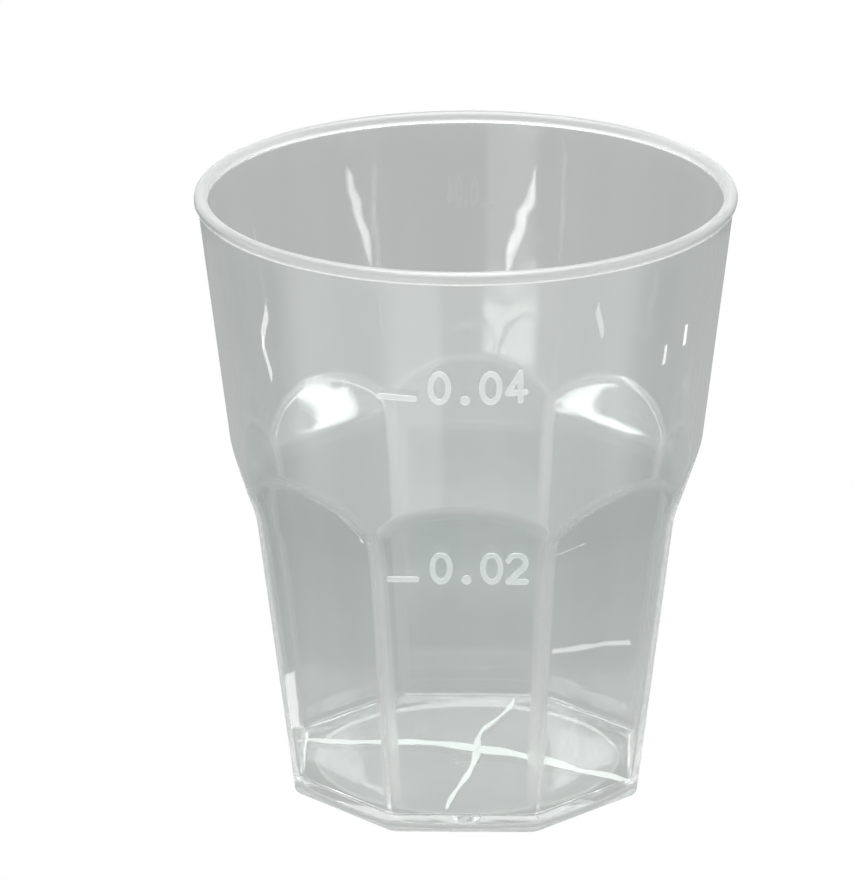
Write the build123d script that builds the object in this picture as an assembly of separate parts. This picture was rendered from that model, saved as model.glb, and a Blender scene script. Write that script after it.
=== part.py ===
from build123d import *
import os
from math import atan, cos, radians, sin

# A clear moulded measuring cup. It stands on the plane Z = 0 with its axis on +Z, and the flat panel
# that carries the graduation marks faces -Y. All sizes are in millimetres.

# Cup
CUP_HEIGHT = 54.2
PANELS = 8
FOOT_ACROSS_FLATS = 30.2  # panel to opposite panel, where the cup stands
SHOULDER_ACROSS_FLATS = 36.5  # panel to opposite panel, at the foot of the shoulders
SHOULDER_FOOT_HEIGHT = 26.8  # where each flat panel ends and its shoulder starts
SHOULDER_RISE = 4.9  # from there up to the top of the shoulder's arch, on the round wall
SHOULDER_DIAMETER = 40.3  # round wall at the height of the shoulder foot
MOUTH_DIAMETER = 46.8  # round wall carried up to the full height, without the rolled rim
WALL = 0.9
FLOOR = 1.4
FOOT_RIB_RADIUS = 1.6  # rounding of the upright ribs between the panels, where the cup stands
SHOULDER_RIB_RADIUS = 2.0  # and where they run out into the shoulders
FOOT_EDGE_RADIUS = 0.35
FLOOR_CORNER_RADIUS = 0.55  # inside, where the wall meets the floor
FLOOR_CORNER_SHARE = 0.8  # the most it may be of the inner ribs' own rounding, which it runs into

# Rolled rim
RIM_ROLL_RADIUS = 0.6
RIM_ROLL_LAP = 0.02  # how far the roll stands inside the wall's inner face

# Underside
STANDING_RING_WIDTH = 1.8  # from the middle of a panel in to the round recess
RECESS_DEPTH = 0.45
RECESS_CORNER_RADIUS = 0.25
GATE_DIAMETER = 2.4
GATE_HEIGHT = 0.25  # stub left by the moulding gate, in the middle of the recess

# Graduation marks, raised on the outer wall
MARK_RELIEF = 0.12
STROKE_WIDTH = 0.5
LINE_RIGHT_X = -3.7  # end of both lines, next to the numbers
LINE_20ML_LENGTH = 2.8
LINE_40ML_LENGTH = 3.4
LINE_20ML_HEIGHT = 24.8
LINE_40ML_HEIGHT = 42.5
NUMBER_CENTRE_X = 1.45
NUMBER_RISE = 1.1  # from the middle of a line up to the middle of its number
DIGIT_WIDTH = 2.0
DIGIT_HEIGHT = 3.1
DIGIT_PITCH = 2.17
POINT_DIAMETER = 0.85

# How far each outer surface moves out for each millimetre up
PANEL_SLOPE = (SHOULDER_ACROSS_FLATS - FOOT_ACROSS_FLATS) / 2 / SHOULDER_FOOT_HEIGHT
ROUND_SLOPE = (MOUTH_DIAMETER - SHOULDER_DIAMETER) / 2 / (CUP_HEIGHT - SHOULDER_FOOT_HEIGHT)
CROWN_RADIUS = SHOULDER_DIAMETER / 2 + ROUND_SLOPE * SHOULDER_RISE
SHOULDER_SLOPE = (CROWN_RADIUS - SHOULDER_ACROSS_FLATS / 2) / SHOULDER_RISE

ROLL_CENTRE_HEIGHT = CUP_HEIGHT - RIM_ROLL_RADIUS


class Skin:
    """The cup's outer surface, moved out from itself by an offset, or in by a negative one."""

    def __init__(self, offset):
        self.panel_shift = offset / cos(atan(PANEL_SLOPE))
        self.round_shift = offset / cos(atan(ROUND_SLOPE))
        shoulder_shift = offset / cos(atan(SHOULDER_SLOPE))
        self.foot_rib_radius = FOOT_RIB_RADIUS + offset
        self.shoulder_rib_radius = SHOULDER_RIB_RADIUS + offset
        self.shoulder_foot = SHOULDER_FOOT_HEIGHT + (self.panel_shift - shoulder_shift) / (
            SHOULDER_SLOPE - PANEL_SLOPE
        )

    def round_radius(self, height):
        rise = height - SHOULDER_FOOT_HEIGHT
        return SHOULDER_DIAMETER / 2 + ROUND_SLOPE * rise + self.round_shift

    def panel_distance(self, height):
        return FOOT_ACROSS_FLATS / 2 + PANEL_SLOPE * height + self.panel_shift

    def shoulder_distance(self, height):
        rise = height - self.shoulder_foot
        return self.panel_distance(self.shoulder_foot) + SHOULDER_SLOPE * rise

    def panels(self, bottom):
        """The flat panels and the ribs between them, up to the foot of the shoulders."""
        top = self.shoulder_foot
        foot = eight_sided(self.panel_distance(bottom), self.foot_rib_radius)
        fold = eight_sided(self.panel_distance(top), self.shoulder_rib_radius)
        return loft([Pos(0, 0, bottom) * foot, Pos(0, 0, top) * fold], ruled=True)

    def shoulders(self, top):
        """The shoulders and their ribs, carried on up past the round wall."""
        bottom = self.shoulder_foot
        fold = eight_sided(self.shoulder_distance(bottom), self.shoulder_rib_radius)
        end = eight_sided(self.shoulder_distance(top), self.shoulder_rib_radius)
        return loft([Pos(0, 0, bottom) * fold, Pos(0, 0, top) * end], ruled=True)

    def solid(self, bottom, top):
        """The round wall from bottom to top, cut back by the panels and shoulders."""
        wall = Cone(
            self.round_radius(bottom),
            self.round_radius(top),
            top - bottom,
            align=(Align.CENTER, Align.CENTER, Align.MIN),
        )
        return (Pos(0, 0, bottom) * wall) & (self.panels(bottom) + self.shoulders(top))


def eight_sided(distance, rib_radius):
    """A regular outline with rounded corners and the middle of one side facing -Y."""
    sharp = RegularPolygon(distance, PANELS, major_radius=False, rotation=180 / PANELS)
    return fillet(sharp.vertices(), rib_radius)


def edges_at(solid, height):
    return solid.edges().filter_by_position(Axis.Z, height, height)


def underside_recess():
    radius = FOOT_ACROSS_FLATS / 2 - STANDING_RING_WIDTH
    bottom_up = (Align.CENTER, Align.CENTER, Align.MIN)
    recess = Cylinder(radius, RECESS_DEPTH, align=bottom_up)
    recess = fillet(edges_at(recess, RECESS_DEPTH), RECESS_CORNER_RADIUS)
    stub = Cylinder(GATE_DIAMETER / 2, GATE_HEIGHT, align=bottom_up)
    return recess - Pos(0, 0, RECESS_DEPTH - GATE_HEIGHT) * stub


def rolled_rim():
    inner_face = Skin(-WALL).round_radius(ROLL_CENTRE_HEIGHT)
    centre_radius = inner_face - RIM_ROLL_LAP + RIM_ROLL_RADIUS
    return Pos(0, 0, ROLL_CENTRE_HEIGHT) * Torus(centre_radius, RIM_ROLL_RADIUS)


def cup_body():
    outside = Skin(0).solid(0, ROLL_CENTRE_HEIGHT)
    outside = fillet(edges_at(outside, 0), FOOT_EDGE_RADIUS)
    inner_skin = Skin(-WALL)
    inside = inner_skin.solid(FLOOR, CUP_HEIGHT)
    floor_corner = min(FLOOR_CORNER_RADIUS, FLOOR_CORNER_SHARE * inner_skin.foot_rib_radius)
    inside = fillet(edges_at(inside, FLOOR), floor_corner)
    return outside - inside - underside_recess() + rolled_rim()


def straight_stroke(start, end):
    middle = ((start[0] + end[0]) / 2, (start[1] + end[1]) / 2)
    return SlotCenterPoint(middle, end, STROKE_WIDTH)


# Middle of the stroke at each edge of a figure
RIGHT = (DIGIT_WIDTH - STROKE_WIDTH) / 2
LEFT = -RIGHT
TOP = (DIGIT_HEIGHT - STROKE_WIDTH) / 2
BASE = -TOP

# Shape of the figures: the bow of the 2, in degrees, and the upright and bar of the 4, as shares
BOW_END = -38  # where the bow runs into the diagonal
BOW_SWEEP = 205
UPRIGHT_SHARE = 0.45  # of the way from the middle of the 4 to its right edge
BAR_SHARE = 0.42  # of the way from its middle down to its base


def figure_zero():
    outline = Ellipse(DIGIT_WIDTH / 2, DIGIT_HEIGHT / 2)
    return outline - Ellipse(RIGHT - STROKE_WIDTH / 2, TOP - STROKE_WIDTH / 2)


def figure_two():
    bow_height = TOP - RIGHT
    bow = SlotArc(CenterArc((0, bow_height), RIGHT, BOW_END, BOW_SWEEP), STROKE_WIDTH)
    turn_x = RIGHT * cos(radians(BOW_END))
    turn_y = bow_height + RIGHT * sin(radians(BOW_END))
    diagonal = straight_stroke((turn_x, turn_y), (LEFT, BASE))
    return bow + diagonal + straight_stroke((LEFT, BASE), (RIGHT, BASE))


def figure_four():
    upright_x = RIGHT * UPRIGHT_SHARE
    bar_y = BASE * BAR_SHARE
    diagonal = straight_stroke((upright_x, TOP), (LEFT, bar_y))
    bar = straight_stroke((LEFT, bar_y), (RIGHT, bar_y))
    return diagonal + bar + straight_stroke((upright_x, TOP), (upright_x, BASE))


def decimal_point():
    return Pos(0, (POINT_DIAMETER - DIGIT_HEIGHT) / 2) * Circle(POINT_DIAMETER / 2)


def number(figures, line_height):
    """A row of figures, centred on its place in front of the cup."""
    row = Sketch()
    for place, figure in enumerate(figures):
        row += Pos(DIGIT_PITCH * (place - (len(figures) - 1) / 2), 0) * figure
    return Pos(NUMBER_CENTRE_X, line_height + NUMBER_RISE) * row


def line(length, line_height):
    end = LINE_RIGHT_X - STROKE_WIDTH / 2
    start = LINE_RIGHT_X - length + STROKE_WIDTH / 2
    return straight_stroke((start, line_height), (end, line_height))


def raised(outline, wall_skin):
    """The outline carried back to the cup, and kept only within the thin skin on its outer wall."""
    return extrude(Plane.XZ * outline, amount=MOUTH_DIAMETER) & wall_skin


def graduation_marks():
    outer = Skin(MARK_RELIEF).solid(FLOOR, ROLL_CENTRE_HEIGHT)
    wall_skin = outer - Skin(0).solid(0, CUP_HEIGHT)
    twenty = [figure_zero(), decimal_point(), figure_zero(), figure_two()]
    forty = [figure_zero(), decimal_point(), figure_zero(), figure_four()]
    return {
        "graduation_line_20ml": raised(line(LINE_20ML_LENGTH, LINE_20ML_HEIGHT), wall_skin),
        "numerals_20ml": raised(number(twenty, LINE_20ML_HEIGHT), wall_skin),
        "graduation_line_40ml": raised(line(LINE_40ML_LENGTH, LINE_40ML_HEIGHT), wall_skin),
        "numerals_40ml": raised(number(forty, LINE_40ML_HEIGHT), wall_skin),
    }


os.makedirs("parts", exist_ok=True)
for name, piece in {"cup_body": cup_body(), **graduation_marks()}.items():
    export_step(piece, f"parts/{name}.step")
    print(name, len(piece.solids()), "solids", round(piece.volume, 2), "mm3")
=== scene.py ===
from math import acos, atan, atan2, cos, hypot, pi, radians, sin, sqrt, tan

import bmesh
import bpy
from mathutils import Euler, Matrix, Quaternion, Vector


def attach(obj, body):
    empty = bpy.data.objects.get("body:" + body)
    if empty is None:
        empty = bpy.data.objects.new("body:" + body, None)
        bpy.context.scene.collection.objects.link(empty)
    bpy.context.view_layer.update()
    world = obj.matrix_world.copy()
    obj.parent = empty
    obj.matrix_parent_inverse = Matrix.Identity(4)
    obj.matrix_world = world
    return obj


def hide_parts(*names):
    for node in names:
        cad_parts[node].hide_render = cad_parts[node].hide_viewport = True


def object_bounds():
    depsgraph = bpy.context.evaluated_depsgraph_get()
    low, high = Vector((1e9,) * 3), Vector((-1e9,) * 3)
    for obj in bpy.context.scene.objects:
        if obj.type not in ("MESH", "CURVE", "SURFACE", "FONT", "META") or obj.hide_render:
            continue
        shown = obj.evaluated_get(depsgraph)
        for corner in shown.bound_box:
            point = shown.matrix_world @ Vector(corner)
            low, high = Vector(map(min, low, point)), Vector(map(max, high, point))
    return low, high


# A clear moulded measuring cup on a white table. Lengths are in metres, and the cup's own sizes
# are written in millimetres times MM. Its axis is Z and the marked panel faces -Y.
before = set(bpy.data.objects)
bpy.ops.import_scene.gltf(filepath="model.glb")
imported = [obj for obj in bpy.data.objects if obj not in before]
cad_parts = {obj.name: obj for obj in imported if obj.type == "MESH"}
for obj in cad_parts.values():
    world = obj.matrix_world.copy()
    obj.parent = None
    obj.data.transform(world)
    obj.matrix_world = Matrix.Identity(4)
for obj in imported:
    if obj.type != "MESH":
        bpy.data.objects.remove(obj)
cad_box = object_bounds()
MM = 0.001

# Cup
CUP_HEIGHT = 54.2 * MM
PANELS = 8
FOOT_FLAT = 15.1 * MM  # axis to panel, where the cup stands
SHOULDER_FLAT = 18.25 * MM  # axis to panel, at the foot of the shoulders
SHOULDER_FOOT = 26.8 * MM
SHOULDER_RISE = 4.9 * MM
ROUND_AT_FOOT = 20.15 * MM  # round wall at the height of the shoulder foot
ROUND_AT_TOP = 23.4 * MM
WALL = 0.9 * MM
FLOOR = 1.4 * MM
FOOT_RIB = 1.6 * MM
SHOULDER_RIB = 2.0 * MM
FOOT_EDGE = 0.35 * MM
FLOOR_CORNER = 0.55 * MM
ROLL_RADIUS = 0.6 * MM
ROLL_LAP = 0.02 * MM
RECESS_RADIUS = 13.3 * MM
RECESS_DEPTH = 0.45 * MM
RECESS_CORNER = 0.25 * MM
STUB_RADIUS = 1.2 * MM
STUB_HEIGHT = 0.25 * MM

# Soft transitions of the moulding
CREASE = 0.03 * MM  # between the rings on either side of a sharp edge
ARCH_BLEND = 0.3 * MM
SCOOP_RUN_IN = 1.5 * MM  # how far below its foot a shoulder starts to curve out
EDGE_OF_FLAT = 0.12 * MM  # over which the look of a flat gives way to the look of the round wall
RIB_MARGIN = 0.6 * MM  # half the width of a rib, which is left out of the look of the flats
ARCH_SOFTNESS = 0.5  # of the soft look of a rib, along the arches
ROLL_LOOK_LEAD = 1.2  # radii of the roll below its middle where the rim's look begins
ROLL_LOOK_LEAST = 0.1  # a face with less than this keeps the look of the wall

PANEL_SLOPE = (SHOULDER_FLAT - FOOT_FLAT) / SHOULDER_FOOT
ROUND_SLOPE = (ROUND_AT_TOP - ROUND_AT_FOOT) / (CUP_HEIGHT - SHOULDER_FOOT)
SHOULDER_SLOPE = (ROUND_AT_FOOT + ROUND_SLOPE * SHOULDER_RISE - SHOULDER_FLAT) / SHOULDER_RISE
HALF_PANEL = pi / PANELS
ROLL_HEIGHT = CUP_HEIGHT - ROLL_RADIUS
RECESS_FLAT_RADIUS = RECESS_RADIUS - RECESS_CORNER

# Low raised lines on the floor, given a milky colour that is painted light for bright lines seen
# through the base: bearing, length, sway and full width of each arm
LIGHT_LINE_START = Vector((0.9 * MM, 1.3 * MM, FLOOR + 0.02 * MM))
LIGHT_LINE_RELIEF = 0.09 * MM
LIGHT_LINE_ARMS = [
    (radians(171), 15.2 * MM, -0.7 * MM, 1.5 * MM),
    (radians(-28.6), 15.4 * MM, 0.6 * MM, 1.7 * MM),
    (radians(-99), 14.6 * MM, 0.3 * MM, 0.65 * MM),
    (radians(77), 12.2 * MM, 0.7 * MM, 0.6 * MM),
]
LIGHT_LINE_BEND = 5.2  # how far the sway turns over the length of an arm, in radians
LIGHT_LINE_CALMING = 0.4  # share of the sway that is gone at the end
LIGHT_LINE_TAPER = 0.45  # share of the width that is gone at the end
LIGHT_LINE_RIPPLE = 0.25  # share of the width that comes and goes along an arm
LIGHT_LINE_RIPPLE_TURN = 17  # in radians
LIGHT_LINE_SIDES = 12
LIGHT_LINE_STEPS = 60

# Mesh
STEPS_ON_PANEL = 44
STEPS_ON_RIB = 14
STEPS_BELOW_SHOULDER = 10
STEPS_BELOW_ARCH = 18
STEPS_ACROSS_ARCH = 14
STEPS_ABOVE_ARCH = 6
STEPS_ON_ROUND_WALL = 8
STEPS_ON_STUB = 3
STEPS_ON_RECESS = 8
STEPS_ON_RECESS_CORNER = 6
STEPS_ON_FOOT_EDGE = 7
STEPS_ON_ROLL = 26
STEPS_ON_FLOOR_CORNER = 8
STEPS_ON_FLOOR = 9
HALVINGS = 24  # in the search for the height of an arch
ARCH_BAND = 0.8 * MM  # height on either side of an arch that the finer rings cover
RIB_SPREAD = radians(5.0)  # angle at the axis that the finer steps of a rib cover
INNERMOST = 0.4 * STUB_RADIUS  # smallest ring on the stub and on the floor
BELOW_ROLL_OUTSIDE = 1.2 * MM  # last of the evenly spaced rings, under the middle of the roll
NEAR_ROLL_OUTSIDE = 0.25 * MM
BELOW_ROLL_INSIDE = 0.3 * MM
FLOOR_MARGIN = 0.6 * MM  # from the rounded corner to the first round ring on the floor
FIRST_TURN_ON_ROLL = 0.04
FIRST_TURN_ON_CORNER = 0.02


def smooth_max(a, b, blend):
    overlap = max(blend - abs(a - b), 0) / blend
    return max(a, b) + overlap * overlap * blend / 4


def smooth_min(a, b, blend):
    return -smooth_max(-a, -b, blend)


def clamped(value):
    return min(max(value, 0), 1)


def off_middle(angle):
    """Angle at the axis from the middle of the nearest panel."""
    return abs((angle + pi / 2 + HALF_PANEL) % (2 * HALF_PANEL) - HALF_PANEL)


def spread(start, end, steps):
    return [start + (end - start) * i / steps for i in range(1, steps + 1)]


class Skin:
    """The cup's outer surface, or a surface set in from it by a wall thickness."""

    def __init__(self, inset):
        self.flat_shift = -inset / cos(atan(PANEL_SLOPE))
        self.round_shift = -inset / cos(atan(ROUND_SLOPE))
        shoulder_shift = -inset / cos(atan(SHOULDER_SLOPE))
        self.inset = inset
        self.arches = {}
        self.fold = SHOULDER_FOOT + (self.flat_shift - shoulder_shift) / (
            SHOULDER_SLOPE - PANEL_SLOPE
        )

    def flat(self, height):
        return FOOT_FLAT + PANEL_SLOPE * height + self.flat_shift

    def round(self, height):
        return ROUND_AT_FOOT + ROUND_SLOPE * (height - SHOULDER_FOOT) + self.round_shift

    def eight_sided(self, distance, rib, angle):
        """Distance from the axis to an outline with eight sides and rounded corners."""
        off = off_middle(angle)
        corner = (distance - rib) / cos(HALF_PANEL)
        if off <= atan((distance - rib) * tan(HALF_PANEL) / distance):
            return distance / cos(off)
        turn = HALF_PANEL - off
        return corner * cos(turn) + sqrt(rib * rib - (corner * sin(turn)) ** 2)

    def scooped(self, height):
        """Axis to the middle of a panel and of its shoulder, which is one hollow curve."""
        run = SHOULDER_RISE + SCOOP_RUN_IN
        along = max(height - self.fold + SCOOP_RUN_IN, 0) / run
        return self.flat(height) + (SHOULDER_SLOPE - PANEL_SLOPE) * SHOULDER_RISE * along**2

    def both(self, height, angle):
        """Distance from the axis to the eight-sided wall, and to the round one."""
        share = min(height / SHOULDER_FOOT, 1)
        rib = FOOT_RIB + (SHOULDER_RIB - FOOT_RIB) * share - self.inset
        return self.eight_sided(self.scooped(height), rib, angle), self.round(height)

    def radius(self, height, angle):
        return smooth_min(*self.both(height, angle), ARCH_BLEND)

    def arch(self, angle):
        """Height at which a shoulder or rib runs into the round wall."""
        key = round(angle, 6)
        if key not in self.arches:
            low, high = self.fold, self.fold + 2 * SHOULDER_RISE
            for _ in range(HALVINGS):
                middle = (low + high) / 2
                flat, wall = self.both(middle, angle)
                low, high = (low, middle) if flat > wall else (middle, high)
            self.arches[key] = low
        return self.arches[key]

    def heights(self, bottom, top):
        """Heights of the rings up the wall. Those at the arches follow them round the cup."""
        run_in = self.fold - SCOOP_RUN_IN
        clear = self.fold + SHOULDER_RISE + 2 * ARCH_BAND
        rings = spread(bottom, run_in, STEPS_BELOW_SHOULDER)
        for share in spread(0, 1, STEPS_BELOW_ARCH):
            rings.append(lambda a, s=share: run_in + (self.arch(a) - ARCH_BAND - run_in) * s)
        for offset in spread(-ARCH_BAND, ARCH_BAND, STEPS_ACROSS_ARCH):
            rings.append(lambda a, o=offset: self.arch(a) + o)
        for share in spread(0, 1, STEPS_ABOVE_ARCH):
            rings.append(lambda a, s=share: (self.arch(a) + ARCH_BAND) * (1 - s) + clear * s)
        return rings + spread(clear, top, STEPS_ON_ROUND_WALL)

    def flatness(self, height, angle):
        """1 on the panels and shoulders, 0 on the ribs and the round wall."""
        flat, wall = self.both(height, angle)
        clear_of_rib = (HALF_PANEL - off_middle(angle)) * flat - RIB_MARGIN
        return clamped(min(wall - flat, clear_of_rib) / EDGE_OF_FLAT + 0.5)

    def softness(self, height, angle):
        """1 on the ribs, a half along the arches, falling to 0 beside them."""
        flat, wall = self.both(height, angle)
        below_arch = clamped((wall - flat) / EDGE_OF_FLAT)
        on_rib = below_arch * (1 - self.flatness(height, angle))
        on_arch = max(1 - abs(wall - flat) / ARCH_BLEND, 0)
        return max(on_rib, ARCH_SOFTNESS * on_arch)


def underside_rings():
    """Stub, recess, its rounded corner and the step down to the standing ring."""
    stub_face = RECESS_DEPTH - STUB_HEIGHT
    rings = [(stub_face, r) for r in spread(INNERMOST, STUB_RADIUS - CREASE, STEPS_ON_STUB)]
    rings += [
        (stub_face, STUB_RADIUS),
        (stub_face + CREASE, STUB_RADIUS),
        (RECESS_DEPTH - CREASE, STUB_RADIUS),
        (RECESS_DEPTH, STUB_RADIUS),
        (RECESS_DEPTH, STUB_RADIUS + CREASE),
    ]
    for r in spread(STUB_RADIUS, RECESS_FLAT_RADIUS - CREASE, STEPS_ON_RECESS):
        rings.append((RECESS_DEPTH, r))
    rings.append((RECESS_DEPTH, RECESS_FLAT_RADIUS))
    for turn in spread(0, pi / 2, STEPS_ON_RECESS_CORNER):
        height = RECESS_DEPTH - RECESS_CORNER * (1 - cos(turn))
        rings.append((height, RECESS_RADIUS - RECESS_CORNER * (1 - sin(turn))))
    return rings + [(CREASE, RECESS_RADIUS), (0, RECESS_RADIUS), (0, RECESS_RADIUS + CREASE)]


def rolled_rim_rings(outer, inner):
    """The wall's last rings under the roll, and the roll itself, from outside to inside."""
    tilt = atan(ROUND_SLOPE)
    centre = inner.round(ROLL_HEIGHT) - ROLL_LAP + ROLL_RADIUS
    to_outer = (outer.round(ROLL_HEIGHT) - centre) * cos(tilt)
    to_inner = (inner.round(ROLL_HEIGHT) - centre) * cos(tilt)
    first = -tilt - acos(to_outer / ROLL_RADIUS)
    last = 2 * pi - tilt - acos(to_inner / ROLL_RADIUS)
    join = ROLL_HEIGHT + ROLL_RADIUS * sin(first)
    rings = [(h, outer.round(h)) for h in (join - NEAR_ROLL_OUTSIDE, join - CREASE)]
    second = first + FIRST_TURN_ON_ROLL
    for turn in [first, second] + spread(second, last, STEPS_ON_ROLL):
        rings.append(
            (ROLL_HEIGHT + ROLL_RADIUS * sin(turn), centre + ROLL_RADIUS * cos(turn))
        )
    under_roll = ROLL_HEIGHT + ROLL_RADIUS * sin(last)
    rings.append((under_roll - CREASE, inner.round(under_roll - CREASE)))
    return rings, under_roll


def cup_stations():
    """The cup's section as (height, radius or skin) pairs, from under the floor round to it."""
    outer, inner = Skin(0), Skin(WALL)
    lean = atan(PANEL_SLOPE)

    def foot_point(turn, angle):
        centre = outer.radius(FOOT_EDGE, angle) - FOOT_EDGE / cos(lean)
        return centre + FOOT_EDGE * cos(turn)

    def corner_point(turn, angle):
        centre = inner.radius(FLOOR + FLOOR_CORNER, angle) - FLOOR_CORNER / cos(lean)
        return centre + FLOOR_CORNER * cos(turn)

    # Underside, and the foot edge, a quarter round that meets the sloping wall
    rings = underside_rings()
    for turn in [-pi / 2] + spread(-pi / 2, -lean, STEPS_ON_FOOT_EDGE):
        rings.append((FOOT_EDGE * (1 + sin(turn)), lambda a, t=turn: foot_point(t, a)))

    # Outer wall, rolled rim and inner wall
    start = FOOT_EDGE * (1 - sin(lean))
    for height in outer.heights(start, ROLL_HEIGHT - BELOW_ROLL_OUTSIDE):
        rings.append((height, outer))
    rim, under_roll = rolled_rim_rings(outer, inner)
    rings += rim
    corner_top = FLOOR + FLOOR_CORNER * (1 - sin(lean))
    for height in reversed(inner.heights(corner_top, under_roll - BELOW_ROLL_INSIDE)):
        rings.append((height, inner))

    # Rounded corner onto the floor, and the floor
    for turn in spread(-lean + FIRST_TURN_ON_CORNER, -pi / 2, STEPS_ON_FLOOR_CORNER):
        rings.append(
            (FLOOR + FLOOR_CORNER * (1 + sin(turn)), lambda a, t=turn: corner_point(t, a))
        )
    rings.append((FLOOR, lambda a: corner_point(-pi / 2, a) - CREASE))
    edge = inner.flat(FLOOR) - FLOOR_CORNER - FLOOR_MARGIN
    return rings + [(FLOOR, r) for r in spread(edge, INNERMOST, STEPS_ON_FLOOR)]


def station_angles():
    """Angles round the axis, closer together across the ribs."""
    angles = []
    for panel in range(PANELS):
        middle = -pi / 2 + 2 * HALF_PANEL * panel
        edge = HALF_PANEL - RIB_SPREAD / 2
        across_panel = [-edge] + spread(-edge, edge, STEPS_ON_PANEL)
        across_rib = spread(edge, edge + RIB_SPREAD, STEPS_ON_RIB)[:-1]
        angles += [middle + a for a in across_panel + across_rib]
    return angles


def ring_place(station, angle):
    height, reach = station
    if callable(height):
        height = height(angle)
    if isinstance(reach, Skin):
        r = reach.radius(height, angle)
    else:
        r = reach(angle) if callable(reach) else reach
    return Vector((r * cos(angle), r * sin(angle), height))


def on_recess_edge(place):
    """Whether a point lies on the rounded corner or the step at the edge of the recess."""
    reach = hypot(place.x, place.y)
    beyond_flat = reach > RECESS_FLAT_RADIUS - CREASE / 2
    return beyond_flat and reach < RECESS_RADIUS + CREASE / 2 and place.z < RECESS_DEPTH + CREASE


def look_values(place, station, angle):
    """How far a point belongs to each part of the cup that looks different."""
    skin = station[1]
    on_wall = isinstance(skin, Skin)
    beyond_recess = hypot(place.x, place.y) > RECESS_FLAT_RADIUS
    rolled = (place.z - ROLL_HEIGHT) / ROLL_RADIUS + ROLL_LOOK_LEAD
    return {
        # panel marks where the flats get their painted shade
        "panel": skin.flatness(place.z, angle) if on_wall else 0,
        # soft and rolled also mark where the ribs, arches and rim are painted lighter, as painted
        # light
        "soft": skin.softness(place.z, angle) if on_wall else 0,
        # Darker at the ring the cup stands on, fading out upwards
        "standing_ring": max(1 - place.z / RECESS_DEPTH, 0) if beyond_recess else 0,
        "rolled": clamped(rolled),
    }


def grown_ring(bm, edges):
    """Extrudes a ring of edges, and returns the new ring's edges and points."""
    grown = bmesh.ops.extrude_edge_only(bm, edges=edges)["geom"]
    points = [g for g in grown if isinstance(g, bmesh.types.BMVert)]
    ring = set(points)
    new_edges = [g for g in grown if isinstance(g, bmesh.types.BMEdge)]
    return [e for e in new_edges if e.verts[0] in ring and e.verts[1] in ring], points


def finished_piece(bm, name):
    bmesh.ops.recalc_face_normals(bm, faces=bm.faces)
    for face in bm.faces:
        face.smooth = True
    mesh = bpy.data.meshes.new(name)
    bm.to_mesh(mesh)
    bm.free()
    piece = bpy.data.objects.new(name, mesh)
    bpy.context.collection.objects.link(piece)
    return piece


def moulded_cup():
    stations = cup_stations()
    angles = station_angles()
    bm = bmesh.new()
    looks = {n: bm.verts.layers.float.new(n) for n in ("panel", "soft", "standing_ring", "rolled")}
    bmesh.ops.create_circle(bm, cap_ends=False, segments=len(angles), radius=STUB_RADIUS)
    bm.verts.ensure_lookup_table()
    for vert, angle in zip(bm.verts, angles):
        vert.co = ring_place(stations[0], angle)
    first_edges = list(bm.edges)
    edges = first_edges
    for station in stations[1:]:
        edges, points = grown_ring(bm, edges)
        for vert in points:
            angle = atan2(vert.co.y, vert.co.x)
            vert.co = ring_place(station, angle)
            # A new point starts with the values of the one it grew from, so each one is set
            for name, value in look_values(vert.co, station, angle).items():
                vert[looks[name]] = value
    for rim in (first_edges, edges):
        cap = bmesh.ops.contextual_create(bm, geom=rim)["faces"]
        bmesh.ops.poke(bm, faces=cap)
    for face in bm.faces:
        if all(vert[looks["rolled"]] > ROLL_LOOK_LEAST for vert in face.verts):
            face.material_index = RIM_SLOT
        if all(on_recess_edge(vert.co) for vert in face.verts):
            face.material_index = RECESS_EDGE_SLOT
    return finished_piece(bm, "moulded_cup")


def place_in_section(vert, section):
    """Where a new point lies in the section of its arm, taken from the point it grew from."""
    ends = (edge.other_vert(vert) for edge in vert.link_edges)
    return next(section[end] for end in ends if end in section)


def painted_light_lines():
    """Low raised lines on the floor in milky plastic, whose milky colour is painted light for
    bright lines seen through the base.
    """
    bm = bmesh.new()
    for bearing, reach, sway, full_width in LIGHT_LINE_ARMS:
        forward = Vector((cos(bearing), sin(bearing), 0))
        sideways = Vector((-sin(bearing), cos(bearing), 0))
        grown = bmesh.ops.create_circle(bm, cap_ends=False, segments=LIGHT_LINE_SIDES, radius=1.0)
        section = {vert: vert.co.copy() for vert in grown["verts"]}
        first_edges = list({edge for vert in section for edge in vert.link_edges})
        edges = first_edges
        for share in [0] + spread(0, 1, LIGHT_LINE_STEPS):
            if share > 0:
                edges, points = grown_ring(bm, edges)
                section = {vert: place_in_section(vert, section) for vert in points}
            middle = LIGHT_LINE_START + forward * reach * share
            middle += sideways * sway * sin(share * LIGHT_LINE_BEND) * (1 - LIGHT_LINE_CALMING * share)
            ripple = 1 + LIGHT_LINE_RIPPLE * sin(LIGHT_LINE_RIPPLE_TURN * share)
            width = full_width * (1.0 - LIGHT_LINE_TAPER * share) * ripple
            for vert, place in section.items():
                across = sideways * place.x * width / 2
                vert.co = middle + across + Vector((0, 0, place.y * LIGHT_LINE_RELIEF))
        for rim in (first_edges, edges):
            bmesh.ops.contextual_create(bm, geom=rim)
    return finished_piece(bm, "painted_light_lines")


# Order of the cup's materials
RIM_SLOT = 1
RECESS_EDGE_SLOT = 2

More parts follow.
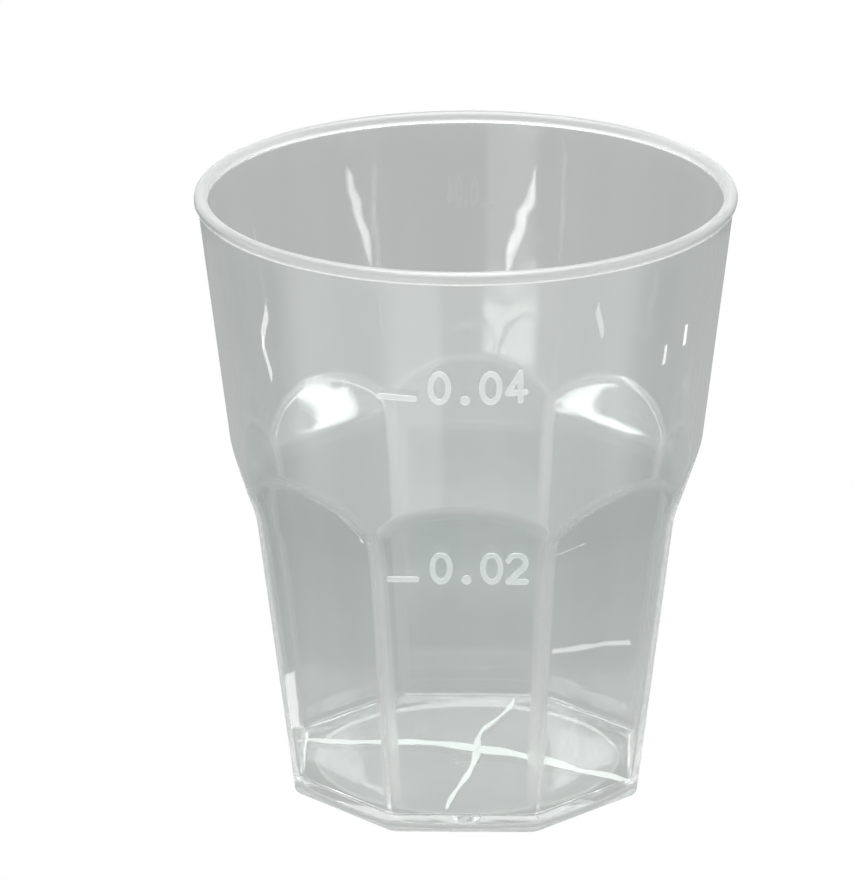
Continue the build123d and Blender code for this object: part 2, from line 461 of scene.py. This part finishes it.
# Looks of the plastic
PLASTIC_IOR = 1.59
CLEAR_ROUGHNESS = (0.025, 0.055)
RIM_ROUGHNESS = 0.3  # added on the rolled rim
SOFT_ROUGHNESS = 0.22  # added on the ribs, and in part along the arches
CLEAR_COLOURS = ((0.93, 0.947, 0.94, 1), (0.99, 0.998, 0.992, 1))
# Painted shade: the flats are painted darker, more so higher up towards the arches
PANEL_PAINTED_SHADE = (0.875, 0.9, 0.9, 1)
PANEL_PAINTED_SHADE_HEIGHTS = (4 * MM, 24 * MM)  # over which the panels' painted shade comes in
# Painted light: the ribs, the arches and the rolled rim are painted lighter
PAINTED_LIGHT_EDGE_COLOUR = (0.995, 0.995, 0.99, 1)
# Darker at the ring the cup stands on
STANDING_RING_COLOUR = (0.6, 0.62, 0.61, 1)
SHADOW_COLOUR = (0.9, 0.92, 0.91, 1)
RIM_CLEARNESS = 0.94
FROST_ROUGHNESS = (0.45, 0.7)
FROST_COLOURS = ((0.86, 0.9, 0.88, 1), (0.95, 0.97, 0.96, 1))
FROST_COVER = 0.42
MILK_ROUGHNESS = (0.3, 0.5)
MILK_COLOURS = ((0.66, 0.69, 0.67, 1), (0.8, 0.82, 0.81, 1))
# Cover of the milky colour that is painted light on the floor lines
PAINTED_LIGHT_LINE_COVER = 0.4
RECESS_EDGE_COVER = 0.15
DULL_SHINE = 0.2  # specular level of the frosted and milky parts

# Size of the moulding's traces. The rates are cycles per metre
WAVE_SIZE = 8 * MM
SCUFF_RATE = 500.0
HAZE_RATE = 70.0
STREAK_RATES = (160.0, 160.0, 14.0)  # drawn out up the wall

# Sockets of a Mix node that blends colours, which share their names with others
FIRST_COLOUR, SECOND_COLOUR, BLENDED_COLOUR = 6, 7, 2


def add(tree, kind, inputs=None, **settings):
    """A node with its settings, and with its inputs set to values or linked to outputs."""
    node = tree.nodes.new(f"ShaderNode{kind}")
    for key, value in settings.items():
        setattr(node, key, value)
    for key, value in (inputs or {}).items():
        if hasattr(value, "is_output"):
            tree.links.new(value, node.inputs[key])
        else:
            node.inputs[key].default_value = value
    return node


def maths(tree, operation, *values):
    return add(tree, "Math", dict(enumerate(values)), operation=operation).outputs[0]


def between(tree, value, ends):
    """0 where the value is at the first end, 1 where it is at the second."""
    inputs = {"Value": value, "From Min": ends[0], "From Max": ends[1]}
    return add(tree, "MapRange", inputs).outputs["Result"]


def spanning(tree, share, ends):
    """The first end where the share is 0, the second where it is 1."""
    inputs = {"Value": share, "To Min": ends[0], "To Max": ends[1]}
    return add(tree, "MapRange", inputs).outputs["Result"]


def blended(tree, share, first, second, blend_type="MIX"):
    inputs = {"Factor": share, FIRST_COLOUR: first, SECOND_COLOUR: second}
    mix = add(tree, "Mix", inputs, data_type="RGBA", blend_type=blend_type)
    return mix.outputs[BLENDED_COLOUR]


def noise(tree, place, rate, detail, **inputs):
    inputs = {"Vector": place, "Scale": rate, "Detail": detail, **inputs}
    return add(tree, "TexNoise", inputs).outputs["Fac"]


def moulding_group():
    """Traces of the moulding: slow waves, faint scuffs, haze, and streaks drawn up the wall."""
    group = bpy.data.node_groups.new("moulded plastic surface", "ShaderNodeTree")
    size = group.interface.new_socket(
        "Wave Size", in_out="INPUT", socket_type="NodeSocketFloat"
    )
    size.default_value = WAVE_SIZE
    for label in ("Wave", "Scuff", "Haze", "Streak"):
        group.interface.new_socket(label, in_out="OUTPUT", socket_type="NodeSocketFloat")
    ins = group.nodes.new("NodeGroupInput").outputs
    outs = group.nodes.new("NodeGroupOutput").inputs
    place = add(group, "TexCoord").outputs["Object"]
    rate = maths(group, "DIVIDE", 1.0, ins["Wave Size"])
    group.links.new(noise(group, place, rate, 2.0), outs["Wave"])
    scratches = noise(group, place, SCUFF_RATE, 5.0, Roughness=0.7)
    group.links.new(between(group, scratches, (0.5, 0.8)), outs["Scuff"])
    group.links.new(noise(group, place, HAZE_RATE, 3.0), outs["Haze"])
    drawn = add(group, "VectorMath", {0: place, 1: STREAK_RATES}, operation="MULTIPLY")
    group.links.new(noise(group, drawn.outputs[0], 1.0, 2.0), outs["Streak"])
    return group


MOULDING = moulding_group()


def fresh_material(name):
    """A new material, its node tree, and the traces of the moulding placed in it."""
    material = bpy.data.materials.new(name)
    material.use_nodes = True
    tree = material.node_tree
    tree.nodes.clear()
    return material, tree, add(tree, "Group", node_tree=MOULDING).outputs


def clear_plastic(name, clearness):
    material, tree, traces = fresh_material(name)

    def look(part):
        return add(tree, "Attribute", attribute_name=part).outputs["Fac"]

    # Flats painted darker as painted shade, ribs, arches and rim painted lighter as painted light,
    # and a darker ring where the cup stands
    place = add(tree, "TexCoord").outputs["Object"]
    height = add(tree, "SeparateXYZ", {0: place}).outputs["Z"]
    rolled, soft = look("rolled"), look("soft")
    colour = blended(tree, between(tree, traces["Streak"], (0.3, 0.7)), *CLEAR_COLOURS)
    # Painted shade on the flats, growing with height up to the arches
    painted_panel_shade = maths(tree, "MULTIPLY", look("panel"), between(tree, height, PANEL_PAINTED_SHADE_HEIGHTS))
    colour = blended(tree, painted_panel_shade, colour, PANEL_PAINTED_SHADE, "MULTIPLY")
    # Painted light: ribs, arches and the rolled rim painted lighter
    colour = blended(tree, maths(tree, "MAXIMUM", soft, rolled), colour, PAINTED_LIGHT_EDGE_COLOUR)
    # Darker at the ring the cup stands on
    colour = blended(tree, look("standing_ring"), colour, STANDING_RING_COLOUR)

    rough = spanning(tree, traces["Scuff"], CLEAR_ROUGHNESS)
    rough = maths(tree, "MULTIPLY_ADD", rolled, RIM_ROUGHNESS, rough)
    rough = maths(tree, "MULTIPLY_ADD", soft, SOFT_ROUGHNESS, rough)
    waves = {"Height": traces["Wave"], "Strength": 0.12, "Distance": 0.3 * MM}
    inputs = {
        "Base Color": colour,
        "Roughness": rough,
        "Normal": add(tree, "Bump", waves).outputs["Normal"],
        "Metallic": 0.0,
        "IOR": PLASTIC_IOR,
        "Transmission Weight": clearness,
    }
    plastic = add(tree, "BsdfPrincipled", inputs).outputs[0]
    shadow = add(tree, "BsdfTransparent", {"Color": SHADOW_COLOUR}).outputs[0]
    in_shadow = add(tree, "LightPath").outputs["Is Shadow Ray"]
    mix = add(tree, "MixShader", {0: in_shadow, 1: plastic, 2: shadow})
    add(tree, "OutputMaterial", {"Surface": mix.outputs[0]})
    return material


def frosted_marks():
    material, tree, traces = fresh_material("frosted graduation")
    grain = {"Height": traces["Scuff"], "Strength": 0.3, "Distance": 0.03 * MM}
    inputs = {
        "Base Color": blended(tree, traces["Haze"], *FROST_COLOURS),
        "Roughness": spanning(tree, traces["Scuff"], FROST_ROUGHNESS),
        "Normal": add(tree, "Bump", grain).outputs["Normal"],
        "Metallic": 0.0,
        "IOR": PLASTIC_IOR,
        "Specular IOR Level": DULL_SHINE,
        "Alpha": FROST_COVER,
    }
    add(tree, "OutputMaterial", {"Surface": add(tree, "BsdfPrincipled", inputs).outputs[0]})
    return material


def milky_plastic(name, cover):
    material, tree, traces = fresh_material(name)
    inputs = {
        "Base Color": blended(tree, traces["Haze"], *MILK_COLOURS),
        "Roughness": spanning(tree, traces["Scuff"], MILK_ROUGHNESS),
        "Metallic": 0.0,
        "IOR": PLASTIC_IOR,
        "Specular IOR Level": DULL_SHINE,
        "Alpha": cover,
    }
    add(tree, "OutputMaterial", {"Surface": add(tree, "BsdfPrincipled", inputs).outputs[0]})
    return material


# The cup
cup = moulded_cup()
cup.data.materials.append(clear_plastic("clear polystyrene", 1.0))
cup.data.materials.append(clear_plastic("thick polystyrene at the rim", RIM_CLEARNESS))
cup.data.materials.append(milky_plastic("scuffed edge of the recess", RECESS_EDGE_COVER))
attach(cup, "root")
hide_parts("cup_body")

lines = painted_light_lines()
# The milky colour of these lines is painted light, standing in for bright lines seen through the
# base
lines.data.materials.append(milky_plastic("milky painted light line", PAINTED_LIGHT_LINE_COVER))
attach(lines, "root")
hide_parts("cup_body")

frost = frosted_marks()
for node in ("graduation_line_20ml", "numerals_20ml", "graduation_line_40ml", "numerals_40ml"):
    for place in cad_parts[node].material_slots:
        place.material = frost

# Stage. The table and the sky are white past the cup and pale grey in the plastic. The table
# also has pools of light, which show only in its mirror images and on dull parts. Reach is the
# distance from the cup's axis in metres, and bearing is turned to the right from straight ahead
# of the marked panel.
STAGE_TONE = (0.975, 1.0, 0.99)
NEAR_GREY = 0.52
FAR_GREY = 0.48
GREY_REACH = (0.04, 0.13)
SKY_LIGHT = 0.9
POOL_LIGHT = 0.85
POOL_NEAR_EDGE = (0.04, 0.09)
POOL_FAR_EDGE = (0.2, 0.12)
POOL_FRONT_EDGE = (0.0, -0.4)  # as Y over reach
STREAK_LIGHT = 0.7
STREAK_LEFT_EDGE = (radians(-36), radians(-28))
STREAK_RIGHT_EDGE = (radians(-6), radians(-12))
PATCH_LIGHT = 2.4
PATCH_LEFT_EDGE = (radians(-38), radians(-32))
PATCH_RIGHT_EDGE = (radians(-5), radians(-10))
PATCH_NEAR_EDGE = (0.25, 0.29)
PATCH_FAR_EDGE = (0.42, 0.37)
TABLE_SIZE = 3.0
TABLE_GAP = 0.02 * MM


def white_or_grey(tree, shader, output, grey):
    """White to the camera, and the stage's tone at the given strength to other rays."""
    seen = add(tree, shader, {"Color": (1, 1, 1, 1), "Strength": 1.0})
    in_plastic = add(tree, shader, {"Color": (*STAGE_TONE, 1), "Strength": grey})
    to_camera = add(tree, "LightPath").outputs["Is Camera Ray"]
    mix = add(tree, "MixShader", {0: to_camera, 1: in_plastic.outputs[0], 2: seen.outputs[0]})
    add(tree, output, {"Surface": mix.outputs[0]})


def table_white():
    material = bpy.data.materials.new("white table")
    material.use_nodes = True
    tree = material.node_tree
    tree.nodes.clear()
    place = add(tree, "TexCoord").outputs["Object"]
    xyz = add(tree, "SeparateXYZ", {0: place}).outputs
    flat = add(tree, "CombineXYZ", {"X": xyz["X"], "Y": xyz["Y"]}).outputs[0]
    reach = add(tree, "VectorMath", {0: flat}, operation="LENGTH").outputs["Value"]
    bearing = maths(tree, "ARCTAN2", xyz["X"], maths(tree, "MULTIPLY", xyz["Y"], -1.0))
    ahead = maths(tree, "DIVIDE", xyz["Y"], reach)
    path = add(tree, "LightPath").outputs
    bounces = maths(tree, "ADD", path["Glossy Depth"], path["Diffuse Depth"])
    mirrored = maths(tree, "GREATER_THAN", bounces, 0.5)

    def inside(value, edge):
        inputs = {"Value": value, "From Min": edge[0], "From Max": edge[1]}
        step = add(tree, "MapRange", inputs, interpolation_type="SMOOTHSTEP")
        return step.outputs["Result"]

    def lit(strength, light, *edges):
        """The light with a pool added to it, which lies inside the edges."""
        area = mirrored
        for value, edge in edges:
            area = maths(tree, "MULTIPLY", area, inside(value, edge))
        return maths(tree, "MULTIPLY_ADD", area, strength, light)

    grey = between(tree, reach, GREY_REACH)
    light = spanning(tree, grey, (NEAR_GREY, FAR_GREY))
    near, far = (reach, POOL_NEAR_EDGE), (reach, POOL_FAR_EDGE)
    light = lit(POOL_LIGHT, light, near, far, (ahead, POOL_FRONT_EDGE))
    sides = (bearing, STREAK_LEFT_EDGE), (bearing, STREAK_RIGHT_EDGE)
    light = lit(STREAK_LIGHT, light, near, *sides)
    sides = (bearing, PATCH_LEFT_EDGE), (bearing, PATCH_RIGHT_EDGE)
    light = lit(PATCH_LIGHT, light, *sides, (reach, PATCH_NEAR_EDGE), (reach, PATCH_FAR_EDGE))
    white_or_grey(tree, "Emission", "OutputMaterial", light)
    return material


bm = bmesh.new()
bmesh.ops.create_grid(bm, x_segments=1, y_segments=1, size=TABLE_SIZE)
bmesh.ops.translate(bm, vec=(0, 0, cad_box[0][2] - TABLE_GAP), verts=bm.verts)
table_mesh = bpy.data.meshes.new("table_top")
bm.to_mesh(table_mesh)
bm.free()
table_top = bpy.data.objects.new("table_top", table_mesh)
table_mesh.materials.append(table_white())
bpy.context.collection.objects.link(table_top)

world = bpy.data.worlds.new("light tent")
bpy.context.scene.world = world
world.use_nodes = True
world.node_tree.nodes.clear()
white_or_grey(world.node_tree, "Background", "OutputWorld", SKY_LIGHT)

# Lamps. Softboxes: name, centre, width, height and radiance
SOFTBOXES = [
    ("right_softbox", (1.0, 0.0, 0.38), 0.78, 0.49, 0.7),
    ("left_softbox", (-1.0, 0.0, 0.38), 0.78, 0.49, 0.7),
    ("top_softbox", (0.0, 0.1, 0.9), 0.9, 0.9, 5.0),
]
# Strips whose mirror images show on the back shoulders, inside the mouth, on the upper wall and
# low on the front panels: name, start, end, thickness, radiance, and if it shows through the cup
STRIPS = [
    ("right_tube", (0.200, -0.006, 0.062), (0.200, 0.0294, 0.180), 0.009, 7.0, True),
    ("left_tube", (-0.200, 0.0118, 0.0707), (-0.200, 0.0368, 0.150), 0.009, 7.0, True),
    ("left_low_tube", (-0.200, 0.002, 0.061), (-0.200, 0.0118, 0.0715), 0.02, 7.0, True),
    ("front_right_tube", (0.1134, -0.0637, 0.0343), (0.101, -0.0818, 0.0266), 0.0035, 3.5, True),
    ("front_left_tube", (-0.071, -0.1073, 0.0356), (-0.0421, -0.1218, 0.027), 0.0035, 4.5, True),
    ("left_spark", (-0.0559, -0.0076, 0.0279), (-0.0554, -0.0022, 0.025), 0.0016, 4.0, False),
    ("left_low_spark", (-0.0554, -0.0022, 0.025), (-0.0552, -0.0054, 0.021), 0.0016, 4.0, False),
    ("right_spark", (0.0418, 0.003, 0.033), (0.0418, 0.003, 0.031), 0.0016, 4.5, False),
    ("right_low_spark", (0.0428, -0.0058, 0.0312), (0.0428, -0.0058, 0.0292), 0.0014, 4.5, False),
    ("right_front_spark", (0.0353, -0.0318, 0.0345), (0.0353, -0.0288, 0.0327), 0.0014, 3.0, False),
    ("right_low_strip", (0.0356, -0.0147, 0.001), (0.0395, -0.0073, 0.001), 0.0004, 3.5, False),
    ("left_low_strip", (-0.0343, -0.0054, 0.001), (-0.0245, -0.006, 0.001), 0.0011, 4.0, False),
]
LAMP_TARGET = Vector((0, 0, 30 * MM))


def lamp_panel(name, width, height, radiance):
    lamp = bpy.data.lights.new(name, "AREA")
    lamp.shape = "RECTANGLE"
    lamp.size = width
    lamp.size_y = height
    lamp.energy = radiance * lamp.size * lamp.size_y * pi
    holder = bpy.data.objects.new(name, lamp)
    holder.visible_camera = False
    bpy.context.collection.objects.link(holder)
    return holder


for name, centre, width, height, radiance in SOFTBOXES:
    softbox = lamp_panel(name, width, height, radiance)
    away = Vector(centre) - LAMP_TARGET
    softbox.location = centre
    softbox.rotation_euler = away.to_track_quat("Z", "Y").to_euler()

for name, start, end, thickness, radiance, through in STRIPS:
    start, end = Vector(start), Vector(end)
    strip = lamp_panel(name, (end - start).length, thickness, radiance)
    along = (end - start).normalized()
    away = (start + end) / 2 - LAMP_TARGET
    away = (away - along * away.dot(along)).normalized()
    strip.location = (start + end) / 2
    strip.rotation_euler = Matrix((along, away.cross(along), away)).transposed().to_euler()
    strip.visible_transmission = through

# Camera
CAMERA_BACK = 582.0 * MM
CAMERA_HEIGHT = 240.0 * MM
CAMERA_SIDE = radians(1.2)  # how far round to the right of the marked panel
CAMERA_TURN = radians(0.34)
CAMERA_DOWN = 0.3447
CAMERA_ROLL = -0.0044
CAMERA_LENS = 287.9
CAMERA_SENSOR = 36.0
camera_data = bpy.data.cameras.new("camera")
camera_data.lens = CAMERA_LENS
camera_data.sensor_width = CAMERA_SENSOR
camera = bpy.data.objects.new("camera", camera_data)
camera.location = (
    CAMERA_BACK * sin(CAMERA_SIDE),
    -CAMERA_BACK * cos(CAMERA_SIDE),
    CAMERA_HEIGHT,
)
level = Euler((pi / 2 - CAMERA_DOWN, 0, CAMERA_SIDE + CAMERA_TURN)).to_quaternion()
camera.rotation_euler = (level @ Quaternion((0, 0, 1), CAMERA_ROLL)).to_euler()
bpy.context.collection.objects.link(camera)
bpy.context.scene.camera = camera

# Rays that run along the clear wall turn many times before they leave it
LIGHT_BOUNCES = 64
bpy.context.scene.view_settings.view_transform = "Standard"
bpy.context.scene.cycles.max_bounces = LIGHT_BOUNCES
bpy.context.scene.cycles.transmission_bounces = LIGHT_BOUNCES
bpy.context.scene.cycles.glossy_bounces = LIGHT_BOUNCES
